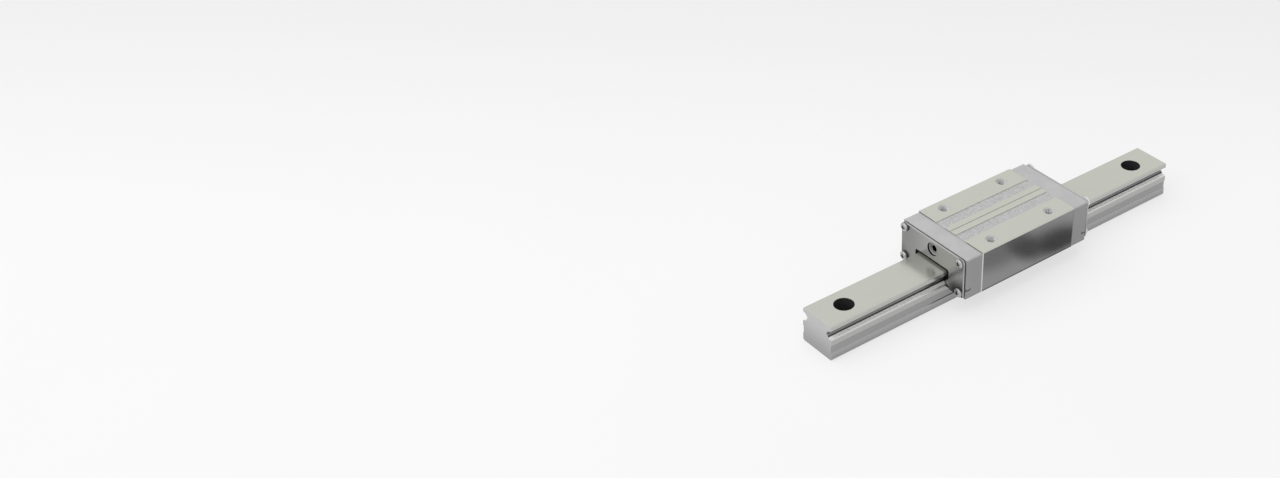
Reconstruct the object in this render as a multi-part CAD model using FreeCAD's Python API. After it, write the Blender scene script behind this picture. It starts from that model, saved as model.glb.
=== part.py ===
import FreeCAD, Part
import math
import os

# Linear guide with one square-block carriage on a profiled rail. Millimetres, +Z up.
# The origin is the middle of the rail's base, +X runs along the rail, +Y is the left side.
# Sections are drawn as (y, z) points, and the carriage stands at the middle of the rail.

# Rail
RAIL_LENGTH = 210.0
RAIL_WIDTH = 20.0
RAIL_HEIGHT = 18.0
RAIL_END_BEVEL = 0.25
RAIL_HOLE_PITCH = 60.0
RAIL_HOLE_COUNT = 4
RAIL_HOLE_D = 6.0
RAIL_COUNTERBORE_D = 9.5
RAIL_COUNTERBORE_DEPTH = 8.5
FOOT_HEIGHT = 3.9
FOOT_BEVEL = 0.6
WAIST_DEPTH = 0.4
WAIST_TAPER = 0.4
SHOULDER_R = 1.1
SHOULDER_LAND = 2.0
HEAD_INSET = 0.3
HEAD_TOP_BEVEL = 0.5
HEAD_LOW_BEVEL = 0.25
RELIEF_DEPTH = 0.6
RELIEF_WIDTH = 1.2

# Balls and their circuit
BALL_D = 3.969
BALL_ROW_BELOW_TOP = 4.65
BALL_ROW_INSET = 0.85
RACE_CONFORMITY = 0.54
CONTACT_ANGLE = 45.0
BALL_RACE_GAP = 0.08
BALL_TO_BALL_GAP = 0.03
BALL_PASSAGE_GAP = 0.18
BALL_SIDES = 6
BALL_BANDS = 4
TURN_R = 2.92
TURN_STEPS = 6

# Carriage block
BLOCK_LENGTH = 57.0
BLOCK_SIDE_WALL = 12.0
BLOCK_ABOVE_RAIL = 12.0
BLOCK_BELOW_ROW = 5.05
BLOCK_BEVEL = 0.45
CHANNEL_GAP = 0.35
ROOF_GAP = 0.6
ROOF_BEVEL = 1.0
TAP_D = 5.0
TAP_DEPTH = 8.0
TAP_SPACING_X = 36.0
TAP_SPACING_Y = 32.0
TAP_COUNTERSINK = 0.35
STRIP_WIDTH = 7.4
BAND_WIDTH = 5.9
BAND_DEPTH = 0.3
STRIP_GROOVE_WIDTH = 0.5

# End caps, end seals and seal plates
CAP_LENGTH = 9.0
CAP_INSET = 0.4
CAP_DROP = 0.5
CAP_RAIL_GAP = 0.45
CAP_CORNER_R = 0.8
CAP_EDGE_BEVEL = 0.25
PORT_BELOW_TOP = 5.2
PORT_THREAD_D = 5.0
PORT_THREAD_DEPTH = 5.0
PORT_BOSS_D = 6.4
PORT_WINDOW_GAP = 0.1
GREASE_GROOVE = 1.2
HOOK_SLOT_LENGTH = 2.6
HOOK_SLOT_RISE = 1.1
HOOK_SLOT_WIDTH = 0.3
HOOK_SLOT_DEPTH = 0.35
HOOK_SLOT_ABOVE_BASE = 4.4
SEAL_THICKNESS = 0.7
SEAL_LIP_GAP = 0.2
SEAL_LIP_RISE = 0.4
SEAL_EDGE_INSET = 0.15
PLATE_THICKNESS = 0.8
PLATE_SIDE_INSET = 1.1
PLATE_TOP_INSET = 0.8
PLATE_BASE_INSET = 1.0
PLATE_RAIL_GAP = 1.3
PLATE_NOTCH_R = 1.2
PLATE_TONGUE_INSET = 0.15
PLATE_TONGUE_DROP = 1.0
PLATE_TONGUE_SLOPE = 1.4
PLATE_CORNER_R = 2.0
PLATE_FOOT_R = 0.6
PLATE_MOUTH_GAP = 1.8
PLATE_MOUTH_TOP = 2.0

# Return guides, retaining bands and under seals
GUIDE_HEIGHT = 6.0
GUIDE_FIT_GAP = 0.05
RETAINER_THICKNESS = 0.35
RETAINER_WIDTH = 0.8
RETAINER_BALL_GAP = 0.06
RETAINER_TAB = 1.65
RETAINER_TAB_SETBACK = 0.5
UNDER_SEAL_HEIGHT = 1.0
UNDER_SEAL_WIDTH = 2.85
UNDER_SEAL_LIP = 0.45

# Fasteners
SCREW_SIDES = 12
SCREW_D = 2.5
SCREW_HEAD_D = 4.5
SCREW_HEAD_HEIGHT = 1.7
SCREW_HEAD_RIM = 0.9
SCREW_CROWN_D = 3.2
SCREW_THREAD_LENGTH = 5.0
SCREW_RECESS_WIDTH = 0.7
SCREW_RECESS_SPAN = 2.6
SCREW_RECESS_DEPTH = 0.9
SCREW_SIDE_INSET = 3.35
SCREW_TOP_INSET = 2.6
SCREW_BASE_INSET = 3.2
SCREW_CLEARANCE = 0.2
THREAD_GAP = 0.05
PLUG_LENGTH = 4.0
PLUG_SINK = 0.4
PLUG_HEX_AF = 2.9
PLUG_HEX_DEPTH = 1.8

# Places worked out from the sizes above
BALL_R = BALL_D / 2
RACE_R = RACE_CONFORMITY * BALL_D
BALL_Y = RAIL_WIDTH / 2 - BALL_ROW_INSET
BALL_Z = RAIL_HEIGHT - BALL_ROW_BELOW_TOP
RACE_OFFSET = RACE_R - BALL_R - BALL_RACE_GAP
RACE_SHIFT_Y = RACE_OFFSET * math.cos(math.radians(CONTACT_ANGLE))
RACE_SHIFT_Z = RACE_OFFSET * math.sin(math.radians(CONTACT_ANGLE))
PASSAGE_R = BALL_R + BALL_PASSAGE_GAP
TURN_Y = BALL_Y + TURN_R
RETURN_Y = BALL_Y + 2 * TURN_R
BLOCK_END = BLOCK_LENGTH / 2
BLOCK_SIDE = RAIL_WIDTH / 2 + BLOCK_SIDE_WALL
BLOCK_TOP = RAIL_HEIGHT + BLOCK_ABOVE_RAIL
BLOCK_BASE = BALL_Z - BLOCK_BELOW_ROW
CHANNEL_Y = RAIL_WIDTH / 2 + CHANNEL_GAP
CAP_END = BLOCK_END + CAP_LENGTH
SEAL_END = CAP_END + SEAL_THICKNESS
PLATE_END = SEAL_END + PLATE_THICKNESS
PORT_Z = BLOCK_TOP - PORT_BELOW_TOP
SCREW_Y = BLOCK_SIDE - SCREW_SIDE_INSET
SCREW_HEIGHTS = (BLOCK_BASE + SCREW_BASE_INSET, BLOCK_TOP - SCREW_TOP_INSET)
BELOW = BLOCK_BASE - 1.0

V = FreeCAD.Vector
ALONG = V(1, 0, 0)
SIDES = {"left": 1, "right": -1}


def slab(x0, x1, y0, y1, z0, z1):
    """Box between two corners, given in any order."""
    low = V(min(x0, x1), min(y0, y1), min(z0, z1))
    return Part.makeBox(abs(x1 - x0), abs(y1 - y0), abs(z1 - z0), low)


def rod(radius, x0, x1, y, z):
    """Cylinder along the rail's direction."""
    return Part.makeCylinder(radius, x1 - x0, V(x0, y, z), ALONG)


def on_circle(centre, radius, degrees):
    """Section point on a circle."""
    turn = math.radians(degrees)
    return (centre[0] + radius * math.cos(turn), centre[1] + radius * math.sin(turn))


def section_path(start, steps):
    """Edges of a section path. A step is (end,) for a line or (middle, end) for an arc."""
    edges = []
    for step in steps:
        points = [V(0, y, z) for y, z in (start, *step)]
        curve = Part.LineSegment(*points) if len(step) == 1 else Part.Arc(*points)
        edges.append(curve.toShape())
        start = step[-1]
    return edges


def straightened(steps):
    """The same path with two chords in place of each arc."""
    return [(point,) for step in steps for point in step]


def faceted_solid(rings):
    """Flat-faced solid through rings of corners. A ring of one corner is a pole."""
    sides = max(len(ring) for ring in rings)
    outlines = [ring for ring in (rings[0], rings[-1]) if len(ring) > 1]
    for first, second in zip(rings, rings[1:]):
        for step in range(sides):
            after = (step + 1) % sides
            start, end = second[step % len(second)], second[after % len(second)]
            outline = [first[step % len(first)], start]
            if len(second) > 1:
                outline.append(end)
            if len(first) > 1:
                outline.append(first[after])
            outlines.append(outline)
    faces = [Part.Face(Part.makePolygon(outline + outline[:1])) for outline in outlines]
    solid = Part.Solid(Part.Shell(faces))
    if solid.Volume < 0:
        solid.reverse()
    return solid


def mirrored_face(start, steps):
    """Face closed across the middle plane from the path of its left half."""
    half = section_path(start, steps)
    other = [edge.mirror(V(0, 0, 0), V(0, 1, 0)) for edge in half]
    edges = half + other
    if abs(start[0]) > 1e-6:
        edges.append(Part.LineSegment(V(0, start[0], start[1]), V(0, -start[0], start[1])).toShape())
    return Part.Face(Part.Wire(Part.__sortEdges__(edges)))


def bar(face, x0, x1):
    """Section face drawn out from x0 to x1."""
    placed = face.copy()
    placed.translate(V(x0, 0, 0))
    return placed.extrude(V(x1 - x0, 0, 0))


def grown_bevel(leg, gap):
    """Leg of a 45 degree bevel once its outline is moved outwards by gap."""
    return leg + gap * (2 - math.sqrt(2))


def arch_on_rail(gap, relief):
    """Steps round the pointed-arch race of the rail, from its lower lip to its upper lip."""
    radius = RACE_R - gap
    lower = (BALL_Y + RACE_SHIFT_Y, BALL_Z + RACE_SHIFT_Z)
    upper = (BALL_Y + RACE_SHIFT_Y, BALL_Z - RACE_SHIFT_Z)
    edge = RELIEF_WIDTH / 2 if relief else 0.0
    low_turn = 180 + math.degrees(math.asin((edge + RACE_SHIFT_Z) / radius))
    low_edge = on_circle(lower, radius, low_turn)
    low_middle = on_circle(lower, radius, (low_turn + 270) / 2)
    high_turn = 360 - low_turn
    high_edge = on_circle(upper, radius, high_turn)
    high_middle = on_circle(upper, radius, (high_turn + 90) / 2)
    steps = [(on_circle(lower, radius, 270),), (low_middle, low_edge)]
    if relief:
        floor = BALL_Y - BALL_R - RELIEF_DEPTH
        steps += [((floor, low_edge[1]),), ((floor, high_edge[1]),), (high_edge,)]
    return steps + [(high_middle, on_circle(upper, radius, 90))]


def upper_rail_steps(gap, relief=False):
    """Steps from the rail's shoulder over its race and head to the middle of its top."""
    side = RAIL_WIDTH / 2 - HEAD_INSET + gap
    top = RAIL_HEIGHT + gap
    lip = BALL_Z - RACE_SHIFT_Z + RACE_R - gap
    centre = (RAIL_WIDTH / 2 - SHOULDER_R, shoulder_z())
    shoulder = SHOULDER_R + gap
    low = grown_bevel(HEAD_LOW_BEVEL, gap)
    high = grown_bevel(HEAD_TOP_BEVEL, gap)
    steps = [(on_circle(centre, shoulder, 45), on_circle(centre, shoulder, 90))]
    steps += arch_on_rail(gap, relief)
    steps += [((side - low, lip),), ((side, lip + low),), ((side, top - high),)]
    return steps + [((side - high, top),), ((0, top),)]


def shoulder_z():
    """Height of the centre of the rail's rounded shoulder."""
    return BALL_Z + RACE_SHIFT_Z - RACE_R - SHOULDER_R


def opening_steps(gap):
    """Steps that clear the rail's upper section by gap, up to the middle of its top."""
    return [((RAIL_WIDTH / 2 + gap, shoulder_z()),)] + upper_rail_steps(gap)


def flat_opening(gap, x0, x1):
    """Opening round the rail, with flats that follow its section."""
    outline = mirrored_face((RAIL_WIDTH / 2 + gap, BELOW), straightened(opening_steps(gap)))
    return bar(outline, x0, x1)


def cap_opening():
    """Solid of the end cap's opening."""
    return flat_opening(CAP_RAIL_GAP, BLOCK_END, CAP_END)


def rail():
    """Rail bar with two races, a waist on each side and counterbored bolt holes."""
    half = RAIL_WIDTH / 2
    inner = half - WAIST_DEPTH
    land = shoulder_z() - SHOULDER_LAND
    foot = [((half - FOOT_BEVEL, 0),), ((half, FOOT_BEVEL),), ((half, FOOT_HEIGHT),)]
    waist = [((inner, FOOT_HEIGHT + WAIST_DEPTH),), ((inner, land - WAIST_TAPER),)]
    steps = foot + waist + [((half, land),), ((half, shoulder_z()),)]
    steps += upper_rail_steps(0.0, relief=True)
    body = bar(mirrored_face((0, 0), steps), -RAIL_LENGTH / 2, RAIL_LENGTH / 2)
    body = body.cut(Part.makeCompound([end_bevel(1), end_bevel(-1)]))
    first = -RAIL_HOLE_PITCH * (RAIL_HOLE_COUNT - 1) / 2
    shelf = RAIL_HEIGHT - RAIL_COUNTERBORE_DEPTH
    for number in range(RAIL_HOLE_COUNT):
        x = first + number * RAIL_HOLE_PITCH
        hole = Part.makeCylinder(RAIL_HOLE_D / 2, RAIL_HEIGHT, V(x, 0, 0))
        seat = Part.makeCylinder(RAIL_COUNTERBORE_D / 2, RAIL_COUNTERBORE_DEPTH, V(x, 0, shelf))
        body = body.cut(hole.fuse(seat))
    return body


def end_bevel(end):
    """Wedge that breaks the top edge of one end of the rail."""
    x = end * RAIL_LENGTH / 2
    corners = [V(x, 0, RAIL_HEIGHT), V(x - end * RAIL_END_BEVEL, 0, RAIL_HEIGHT)]
    corners.append(V(x, 0, RAIL_HEIGHT - RAIL_END_BEVEL))
    wedge = Part.Face(Part.makePolygon(corners + corners[:1]))
    wedge.translate(V(0, -RAIL_WIDTH / 2, 0))
    return wedge.extrude(V(0, RAIL_WIDTH, 0))


def block_channel():
    """Solid of the block's channel, with the outer half of each pointed-arch race."""
    lower = (BALL_Y - RACE_SHIFT_Y, BALL_Z + RACE_SHIFT_Z)
    upper = (BALL_Y - RACE_SHIFT_Y, BALL_Z - RACE_SHIFT_Z)
    wall_turn = math.degrees(math.acos((CHANNEL_Y - lower[0]) / RACE_R))
    tip_turn = math.degrees(math.asin(RACE_SHIFT_Z / RACE_R))
    middle = (wall_turn + tip_turn) / 2
    roof = RAIL_HEIGHT + ROOF_GAP
    steps = [
        (on_circle(lower, RACE_R, -wall_turn),),
        (on_circle(lower, RACE_R, -middle), on_circle(lower, RACE_R, -tip_turn)),
        (on_circle(upper, RACE_R, middle), on_circle(upper, RACE_R, wall_turn)),
        ((CHANNEL_Y, roof - ROOF_BEVEL),),
        ((CHANNEL_Y - ROOF_BEVEL, roof),),
        ((0, roof),),
    ]
    return bar(mirrored_face((CHANNEL_Y, BELOW), steps), -BLOCK_END, BLOCK_END)


def block_blank():
    """Outside of the block, bevelled along its long edges and down its corners."""
    section = [
        ((BLOCK_SIDE - BLOCK_BEVEL, BLOCK_BASE),),
        ((BLOCK_SIDE, BLOCK_BASE + BLOCK_BEVEL),),
        ((BLOCK_SIDE, BLOCK_TOP - BLOCK_BEVEL),),
        ((BLOCK_SIDE - BLOCK_BEVEL, BLOCK_TOP),),
        ((0, BLOCK_TOP),),
    ]
    long_form = bar(mirrored_face((0, BLOCK_BASE), section), -BLOCK_END, BLOCK_END)
    inner = BLOCK_END - BLOCK_BEVEL
    edge = BLOCK_SIDE - BLOCK_BEVEL
    plan = [(BLOCK_END, edge), (inner, BLOCK_SIDE), (-inner, BLOCK_SIDE), (-BLOCK_END, edge)]
    plan += [(-x, -y) for x, y in plan]
    corners = [V(x, y, BLOCK_BASE) for x, y in plan + plan[:1]]
    plan_form = Part.Face(Part.makePolygon(corners)).extrude(V(0, 0, BLOCK_TOP - BLOCK_BASE))
    return long_form.common(plan_form)


def tapped_hole(x, y):
    """Blind threaded hole in the block's top, with a countersink."""
    r = TAP_D / 2
    floor = BLOCK_TOP - TAP_DEPTH
    hole = Part.makeCylinder(r, TAP_DEPTH, V(x, y, floor))
    mouth = V(x, y, BLOCK_TOP - TAP_COUNTERSINK)
    return hole.fuse(Part.makeCone(r, r + TAP_COUNTERSINK, TAP_COUNTERSINK, mouth))


def top_relief():
    """Unground bands beside the middle strips, and the fine groove between the strips."""
    floor = BLOCK_TOP - BAND_DEPTH
    inner = STRIP_WIDTH / 2
    outer = inner + BAND_WIDTH
    bands = [slab(-BLOCK_END, BLOCK_END, s * inner, s * outer, floor, BLOCK_TOP) for s in (1, -1)]
    half = STRIP_GROOVE_WIDTH / 2
    return bands + [slab(-BLOCK_END, BLOCK_END, -half, half, floor, BLOCK_TOP)]


def carriage_block():
    """Steel block with races, return holes, tapped holes and seats for screws and seals."""
    block = block_blank().cut(block_channel())
    floor = BLOCK_END - SCREW_THREAD_LENGTH - 1.0
    tools = top_relief() + screw_holes(SCREW_D / 2, floor, BLOCK_END)
    tools += screw_holes(SCREW_D / 2, -BLOCK_END, -floor)
    for side in SIDES.values():
        tools.append(rod(PASSAGE_R, -BLOCK_END, BLOCK_END, side * RETURN_Y, BALL_Z))
        seat = UNDER_SEAL_WIDTH + SEAL_LIP_GAP + RAIL_WIDTH / 2
        tools.append(slab(-BLOCK_END, BLOCK_END, 0, side * seat, BELOW, BLOCK_BASE + UNDER_SEAL_HEIGHT))
        for end in (1, -1):
            tools.append(tapped_hole(end * TAP_SPACING_X / 2, side * TAP_SPACING_Y / 2))
    for tool in tools:
        block = block.cut(tool)
    return block


def rounded_panel(half_width, base, top, foot_r, corner_r, x0, x1):
    """Flat panel across the carriage with its own radius at the foot and at the top corners."""
    foot = (half_width - foot_r, base + foot_r)
    corner = (half_width - corner_r, top - corner_r)
    steps = [
        ((foot[0], base),),
        (on_circle(foot, foot_r, -45), (half_width, foot[1])),
        ((half_width, corner[1]),),
        (on_circle(corner, corner_r, 45), (corner[0], top)),
        ((0, top),),
    ]
    return bar(mirrored_face((0, base), steps), x0, x1)


def screw_ring(radius, x, y, z):
    """Corners of a twelve-sided section, so that the many screws and their holes stay light."""
    points = [on_circle((y, z), radius, 360 * side / SCREW_SIDES) for side in range(SCREW_SIDES)]
    return [V(x, *point) for point in points]


def screw_holes(radius, x0, x1):
    """Four holes for the screws of one end."""
    places = [(side * SCREW_Y, z) for side in SIDES.values() for z in SCREW_HEIGHTS]
    return [faceted_solid([screw_ring(radius, x, *place) for x in (x0, x1)]) for place in places]


def turn_passage(side):
    """Eight-sided passage in flat steps, in which the balls turn round."""
    reach = PASSAGE_R / math.cos(math.pi / 8)
    section = [on_circle((TURN_R, BALL_Z), reach, 22.5 + 45 * corner) for corner in range(8)]
    rings = []
    for step in range(TURN_STEPS + 1):
        turn = math.pi * step / TURN_STEPS
        flow = [(math.sin(turn) * r, TURN_Y - math.cos(turn) * r, z) for r, z in section]
        rings.append([V(BLOCK_END + x, side * y, z) for x, y, z in flow])
    lead_in = [corner - ALONG for corner in rings[0]]
    lead_out = [corner - ALONG for corner in rings[-1]]
    return faceted_solid([lead_in, *rings, lead_out])


def guide_spool(side, radius, height):
    """Upright cylinder on the axis of one turn."""
    return Part.makeCylinder(radius, height, V(BLOCK_END, side * TURN_Y, BALL_Z - height / 2))


def grease_ways():
    """Threaded port of the end cap, and the grooves from it to both turns."""
    outer = CAP_END + SEAL_THICKNESS
    floor = CAP_END - PORT_THREAD_DEPTH
    half = GREASE_GROOVE / 2
    ways = [rod(PORT_THREAD_D / 2, floor, outer, 0, PORT_Z)]
    ways.append(slab(BLOCK_END, floor, -half, half, PORT_Z - half, PORT_Z + half))
    depth = BLOCK_END + GREASE_GROOVE
    ways.append(slab(BLOCK_END, depth, -TURN_Y, TURN_Y, PORT_Z - half, PORT_Z + half))
    for side in SIDES.values():
        y = side * TURN_Y
        ways.append(slab(BLOCK_END, depth, y - half, y + half, BALL_Z + GUIDE_HEIGHT / 2, PORT_Z + half))
    return ways


def hook_slots():
    """Hooked seam of the snap fit on each side of the end cap."""
    z = BLOCK_BASE + HOOK_SLOT_ABOVE_BASE
    back = CAP_END - HOOK_SLOT_LENGTH
    slots = []
    for side in SIDES.values():
        outer = side * (BLOCK_SIDE - CAP_INSET)
        inner = outer - side * HOOK_SLOT_DEPTH
        slots.append(slab(back, CAP_END, inner, outer, z, z + HOOK_SLOT_WIDTH))
        slots.append(slab(back, back + HOOK_SLOT_WIDTH, inner, outer, z, z + HOOK_SLOT_RISE))
    return slots


def retainer_tab_x():
    """Inner face of the bent tab of a retaining band, inside the end cap."""
    return BLOCK_END + TURN_R + PASSAGE_R + RETAINER_TAB_SETBACK


def retainer_root():
    """Distance from the middle plane to a retaining band's face on the rail's side."""
    return BALL_Y - BALL_R - RETAINER_BALL_GAP - RETAINER_THICKNESS


def retainer_slots():
    """Pockets in the end cap's tongues for the tabs of the retaining bands."""
    half = RETAINER_WIDTH / 2 + GUIDE_FIT_GAP
    x0 = retainer_tab_x() - GUIDE_FIT_GAP
    x1 = retainer_tab_x() + RETAINER_THICKNESS + GUIDE_FIT_GAP
    inner = retainer_root()
    outer = inner + RETAINER_TAB + GUIDE_FIT_GAP
    return [slab(x0, x1, s * inner, s * outer, BALL_Z - half, BALL_Z + half) for s in SIDES.values()]


def edge_frame():
    """Frame that bevels the outer rim of the end cap on its sealed face."""
    side = BLOCK_SIDE - CAP_INSET
    top = BLOCK_TOP - CAP_DROP
    rim = [(side, BELOW), (side, top), (0, top)]
    slim = [(y - min(y, CAP_EDGE_BEVEL), min(z, top - CAP_EDGE_BEVEL)) for y, z in rim]
    wires = []
    for points, x in ((rim, CAP_END - CAP_EDGE_BEVEL), (slim, CAP_END)):
        half = [V(x, y, z) for y, z in points]
        other = [V(x, -y, z) for y, z in reversed(points[:-1])]
        wires.append(Part.makePolygon(half + other + half[:1]))
    big = slab(CAP_END - CAP_EDGE_BEVEL, CAP_END, -side - 1, side + 1, BELOW, top + 1)
    return big.cut(Part.makeLoft(wires, True, True))


def end_cap():
    """Resin cap with ball turns, grease ways, a sealed face and tongues in the rail's races."""
    side = BLOCK_SIDE - CAP_INSET
    top = BLOCK_TOP - CAP_DROP
    cap = rounded_panel(side, BLOCK_BASE, top, CAP_CORNER_R / 2, CAP_CORNER_R, BLOCK_END, CAP_END)
    cap = cap.cut(edge_frame()).fuse(rod(PORT_BOSS_D / 2, CAP_END - 1, SEAL_END, 0, PORT_Z))
    tools = [cap_opening()]
    for way in SIDES.values():
        tools.append(turn_passage(way))
        tools.append(guide_spool(way, TURN_R + GUIDE_FIT_GAP, GUIDE_HEIGHT))
    tools += screw_holes(SCREW_D / 2 + SCREW_CLEARANCE, BLOCK_END, CAP_END)
    for tool in tools + grease_ways() + hook_slots() + retainer_slots():
        cap = cap.cut(tool)
    return cap.removeSplitter()


def return_guide(side):
    """Half spool in the end cap, round which the balls turn."""
    guide = guide_spool(side, TURN_R, GUIDE_HEIGHT).cut(turn_passage(side))
    sides = (side * (TURN_Y - TURN_R), side * (TURN_Y + TURN_R))
    half = slab(BLOCK_END, BLOCK_END + TURN_R, *sides, 0, BLOCK_TOP)
    return guide.common(half).cut(cap_opening())


def end_seal():
    """Rubber sheet whose lip follows the rail and stands up in the plate's opening."""
    sheet = sealed_panel(SEAL_EDGE_INSET, CAP_END, SEAL_END)
    crest = SEAL_END + SEAL_LIP_RISE
    lip = plate_opening(SEAL_END, crest).common(sealed_panel(SEAL_EDGE_INSET, SEAL_END, crest))
    sheet = sheet.fuse(lip).cut(flat_opening(SEAL_LIP_GAP, CAP_END, crest))
    for hole in screw_holes(SCREW_D / 2 + SCREW_CLEARANCE, CAP_END, SEAL_END):
        sheet = sheet.cut(hole)
    return sheet.cut(rod(PORT_BOSS_D / 2 + PORT_WINDOW_GAP, CAP_END, SEAL_END, 0, PORT_Z))


def sealed_panel(inset, x0, x1):
    """Outline shared by the seal plate and the rubber behind it."""
    side = BLOCK_SIDE - PLATE_SIDE_INSET - inset
    base = BLOCK_BASE + PLATE_BASE_INSET + inset
    top = BLOCK_TOP - PLATE_TOP_INSET - inset
    return rounded_panel(side, base, top, PLATE_FOOT_R, PLATE_CORNER_R - inset, x0, x1)


def plate_opening(x0, x1):
    """Opening of the seal plate, with a tongue towards each race and a wide mouth below."""
    side = RAIL_WIDTH / 2 + PLATE_RAIL_GAP
    mouth = RAIL_WIDTH / 2 + PLATE_MOUTH_GAP
    top = RAIL_HEIGHT + PLATE_RAIL_GAP
    tip = (BALL_Y - PLATE_TONGUE_INSET, BALL_Z - PLATE_TONGUE_DROP)
    notch = (side - PLATE_NOTCH_R, top - PLATE_NOTCH_R)
    steps = [
        ((mouth, BLOCK_BASE + PLATE_MOUTH_TOP),),
        ((side, tip[1] - PLATE_TONGUE_SLOPE),),
        (tip,),
        ((side, tip[1] + side - tip[0]),),
        ((side, notch[1]),),
        (on_circle(notch, PLATE_NOTCH_R, 45), (notch[0], top)),
        ((0, top),),
    ]
    return bar(mirrored_face((mouth, BLOCK_BASE), steps), x0, x1)


def seal_plate():
    """Steel plate that clamps the rubber, with a window on the grease port."""
    plate = sealed_panel(0.0, SEAL_END, PLATE_END).cut(plate_opening(SEAL_END, PLATE_END))
    for hole in screw_holes(SCREW_D / 2 + SCREW_CLEARANCE, SEAL_END, PLATE_END):
        plate = plate.cut(hole)
    return plate.cut(rod(PORT_BOSS_D / 2 + PORT_WINDOW_GAP, SEAL_END, PLATE_END, 0, PORT_Z))


def seal_screw():
    """Pan-head screw at the middle plane, its head outside the plate."""
    radius = SCREW_HEAD_D / 2
    crown = PLATE_END + SCREW_HEAD_HEIGHT
    tip = BLOCK_END - SCREW_THREAD_LENGTH
    shank = SCREW_D / 2 - THREAD_GAP
    outline = [(tip, shank), (PLATE_END, shank), (PLATE_END, radius)]
    outline += [(PLATE_END + SCREW_HEAD_RIM, radius), (crown, SCREW_CROWN_D / 2)]
    screw = faceted_solid([screw_ring(r, x, 0, 0) for x, r in outline])
    floor = crown - SCREW_RECESS_DEPTH
    arm = SCREW_RECESS_SPAN / 2
    half = SCREW_RECESS_WIDTH / 2
    cross = slab(floor, crown, -arm, arm, -half, half).fuse(slab(floor, crown, -half, half, -arm, arm))
    return screw.cut(cross)


def seal_screws():
    """The four screws of each end."""
    rear = seal_screw()
    screws = []
    for model in (rear, rear.mirror(V(0, 0, 0), ALONG)):
        for side in SIDES.values():
            for z in SCREW_HEIGHTS:
                screw = model.copy()
                screw.translate(V(0, side * SCREW_Y, z))
                screws.append(screw)
    return Part.makeCompound(screws)


def grease_plug():
    """Hexagon-socket set screw that closes the grease port."""
    face = SEAL_END - PLUG_SINK
    plug = rod(PORT_THREAD_D / 2 - THREAD_GAP, face - PLUG_LENGTH, face, 0, PORT_Z)
    reach = PLUG_HEX_AF / math.sqrt(3)
    points = [on_circle((0, PORT_Z), reach, 60 * corner) for corner in range(7)]
    hexagon = Part.Face(Part.makePolygon([V(face - PLUG_HEX_DEPTH, y, z) for y, z in points]))
    return plug.cut(hexagon.extrude(V(PLUG_HEX_DEPTH, 0, 0)))


def retaining_band(side):
    """Thin band in the rail's relief groove that keeps the balls in, with a tab at each end."""
    half = RETAINER_WIDTH / 2
    root = retainer_root()
    reach = retainer_tab_x() + RETAINER_THICKNESS
    low, high = BALL_Z - half, BALL_Z + half
    band = slab(-reach, reach, side * root, side * (root + RETAINER_THICKNESS), low, high)
    for end in (1, -1):
        inner = end * retainer_tab_x()
        tab = slab(inner, end * reach, side * root, side * (root + RETAINER_TAB), low, high)
        band = band.fuse(tab)
    return band.removeSplitter()


def under_seal(side):
    """Strip in the block's base whose lip reaches towards the side of the rail."""
    inner = RAIL_WIDTH / 2 + SEAL_LIP_GAP
    outer = inner + UNDER_SEAL_WIDTH
    top = BLOCK_BASE + UNDER_SEAL_HEIGHT
    wall = CHANNEL_Y
    points = [(outer, BLOCK_BASE), (outer, top), (wall, top), (inner, BLOCK_BASE + UNDER_SEAL_LIP)]
    points.append((inner, BLOCK_BASE))
    corners = [V(-BLOCK_END, side * y, z) for y, z in points + points[:1]]
    return Part.Face(Part.makePolygon(corners)).extrude(V(BLOCK_LENGTH, 0, 0))


def faceted_ball():
    """Flat-faced ball whose corners lie on the true sphere, so that full circuits stay light."""
    rings = [[V(0, 0, BALL_R)]]
    for band in range(1, BALL_BANDS):
        tilt = math.pi * band / BALL_BANDS
        ring = []
        for step in range(BALL_SIDES):
            turn = 2 * math.pi * (step + 0.5) / BALL_SIDES
            flat = BALL_R * math.sin(tilt)
            ring.append(V(flat * math.cos(turn), flat * math.sin(turn), BALL_R * math.cos(tilt)))
        rings.append(ring)
    return faceted_solid([*rings, [V(0, 0, -BALL_R)]])


def circuit_place(travel):
    """Point on the ball circuit at a distance along it, as (x, y): load row, turn, return, turn."""
    turn_length = math.pi * TURN_R
    if travel < BLOCK_LENGTH:
        return (travel - BLOCK_END, BALL_Y)
    travel -= BLOCK_LENGTH
    if travel < turn_length:
        angle = travel / TURN_R
        return (BLOCK_END + TURN_R * math.sin(angle), TURN_Y - TURN_R * math.cos(angle))
    travel -= turn_length
    if travel < BLOCK_LENGTH:
        return (BLOCK_END - travel, RETURN_Y)
    angle = (travel - BLOCK_LENGTH) / TURN_R
    return (-BLOCK_END - TURN_R * math.sin(angle), TURN_Y + TURN_R * math.cos(angle))


def ball_circuit(side):
    """Every ball of one circuit: load row, both turns and the return hole."""
    length = 2 * (BLOCK_LENGTH + math.pi * TURN_R)
    count = int(length // (BALL_D + BALL_TO_BALL_GAP))
    model = faceted_ball()
    balls = []
    for number in range(count):
        x, y = circuit_place(length * number / count)
        ball = model.copy()
        ball.translate(V(x, side * y, BALL_Z))
        balls.append(ball)
    return Part.makeCompound(balls)


def at_ends(name, shape):
    """The same piece at both ends: as drawn at the rear, mirrored at the front."""
    return {name + "_rear": shape, name + "_front": shape.mirror(V(0, 0, 0), ALONG)}


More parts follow.
